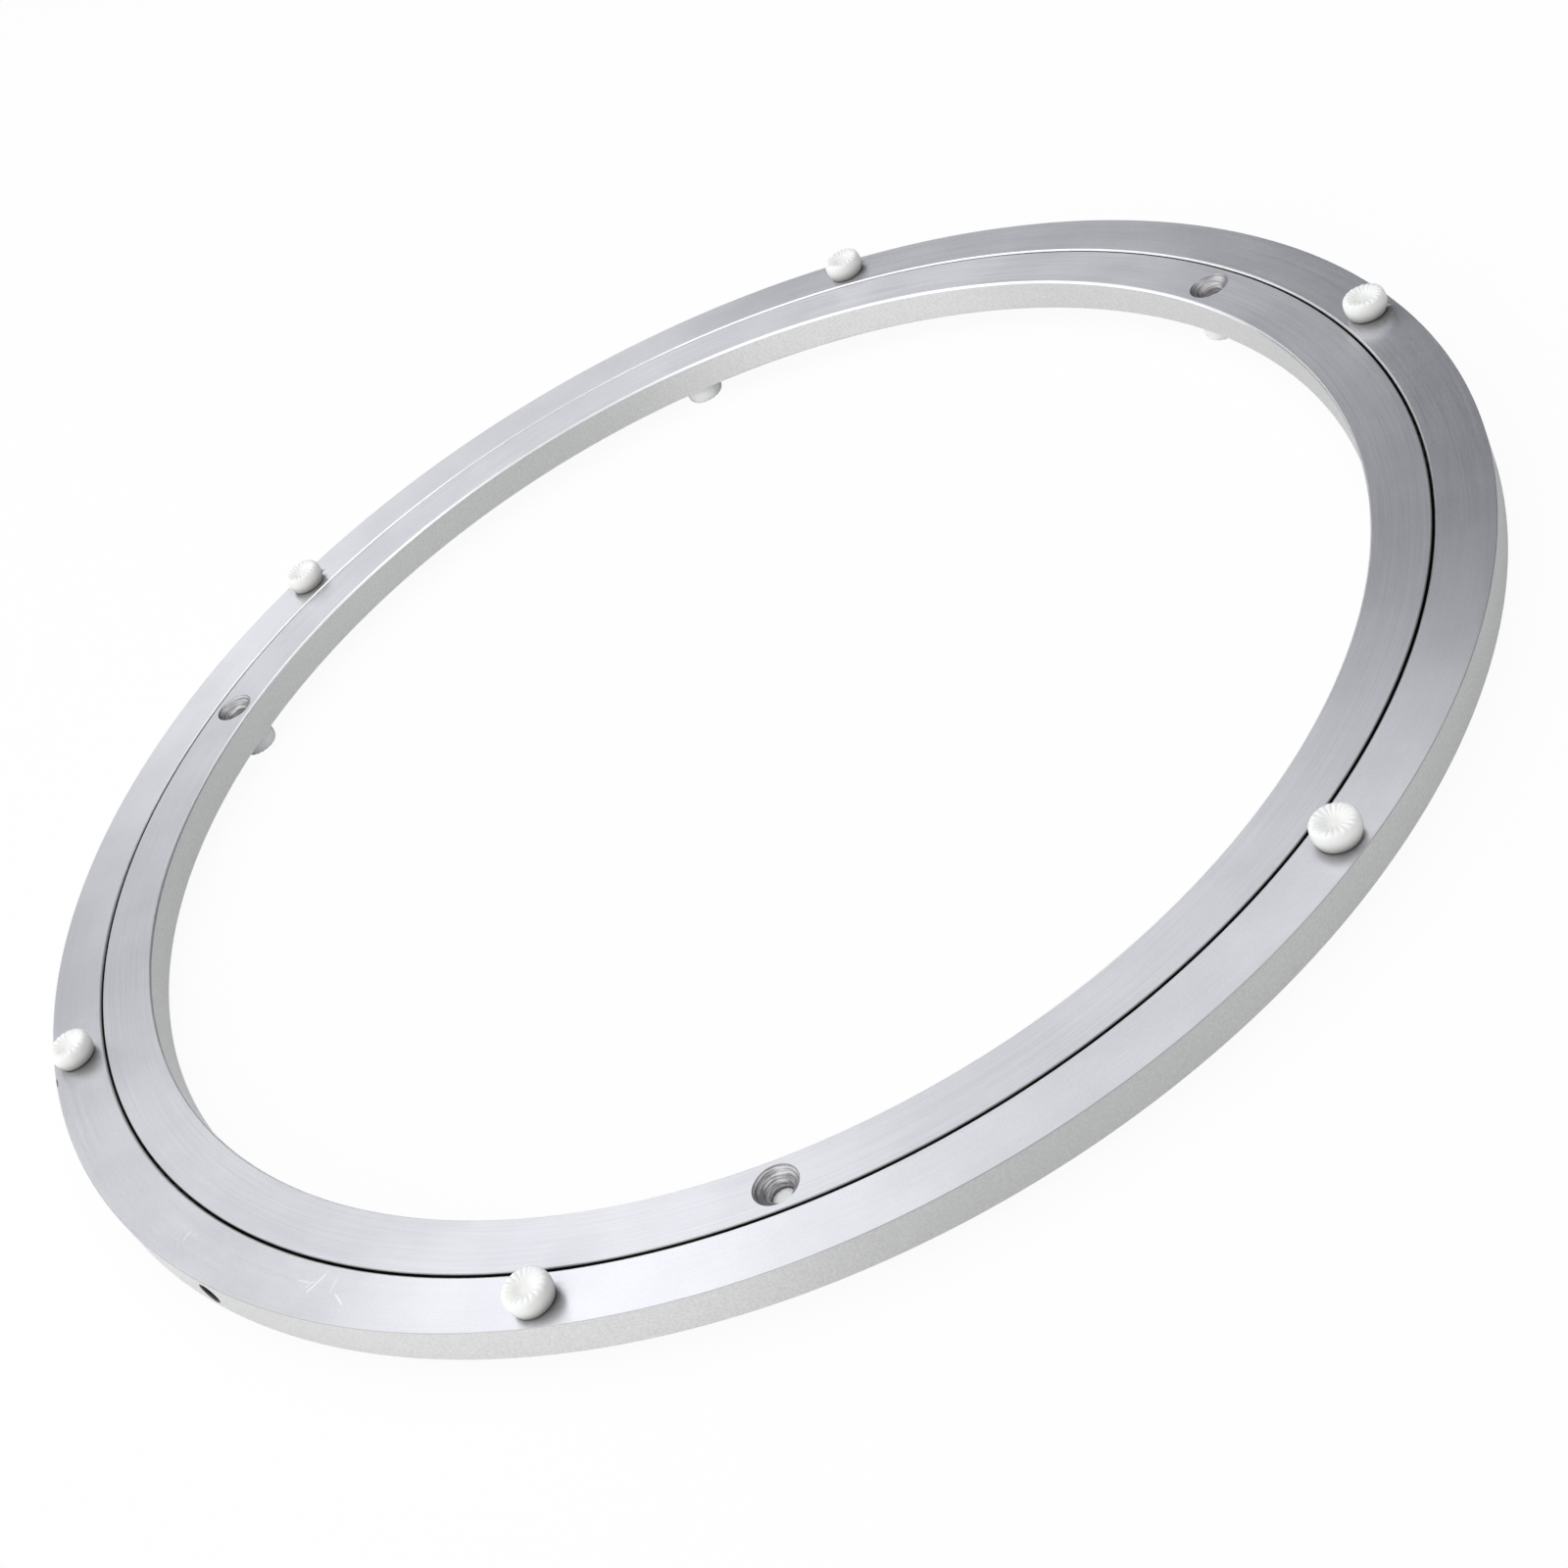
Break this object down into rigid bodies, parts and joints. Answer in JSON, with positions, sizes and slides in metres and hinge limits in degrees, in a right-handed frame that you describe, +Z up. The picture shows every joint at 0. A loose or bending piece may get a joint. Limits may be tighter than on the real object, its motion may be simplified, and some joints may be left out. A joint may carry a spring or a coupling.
{
  "type": "lazy susan bearing",
  "caption": "Ring turntable bearing: an aluminium outer ring turns on an inner ring over loose balls, with soft pads above, feet below and countersunk screw holes.",
  "frame": {"origin": "on the axis of turning, in the plane that the feet stand on", "axes": "+Z up along the axis of turning, +X through the middle of the first pad"},
  "size_m": [0.35, 0.35, 0.0182],
  "materials": {
    "ring_aluminium": "satin, turned",
    "bumper_rubber": "matte, moulded",
    "ball_steel": "polished",
    "plug_steel": "blackened"
  },
  "bodies": {
    "base": {"inner_ring": "ring_aluminium", "foot_1": "bumper_rubber", "foot_2": "bumper_rubber", "foot_3": "bumper_rubber", "foot_4": "bumper_rubber", "foot_5": "bumper_rubber", "foot_6": "bumper_rubber"},
    "turntable": {"outer_ring": "ring_aluminium", "port_plug": "plug_steel", "top_pad_1": "bumper_rubber", "top_pad_2": "bumper_rubber", "top_pad_3": "bumper_rubber", "top_pad_4": "bumper_rubber", "top_pad_5": "bumper_rubber", "top_pad_6": "bumper_rubber"},
    "ball_row": {"bearing_balls": "ball_steel"}
  },
  "joints": [
    {"name": "turntable_spin", "type": "hinge", "parent": "base", "child": "turntable", "pos_m": [0, 0, 0.0091], "axis": [0, 0, 1], "continuous": true},
    {"name": "ball_row_orbit", "type": "hinge", "parent": "base", "child": "ball_row", "pos_m": [0, 0, 0.0091], "axis": [0, 0, 1], "continuous": true}
  ],
  "couplings": [
    {"joint": "ball_row_orbit", "follows": "turntable_spin", "ratio": 0.50617}
  ]
}
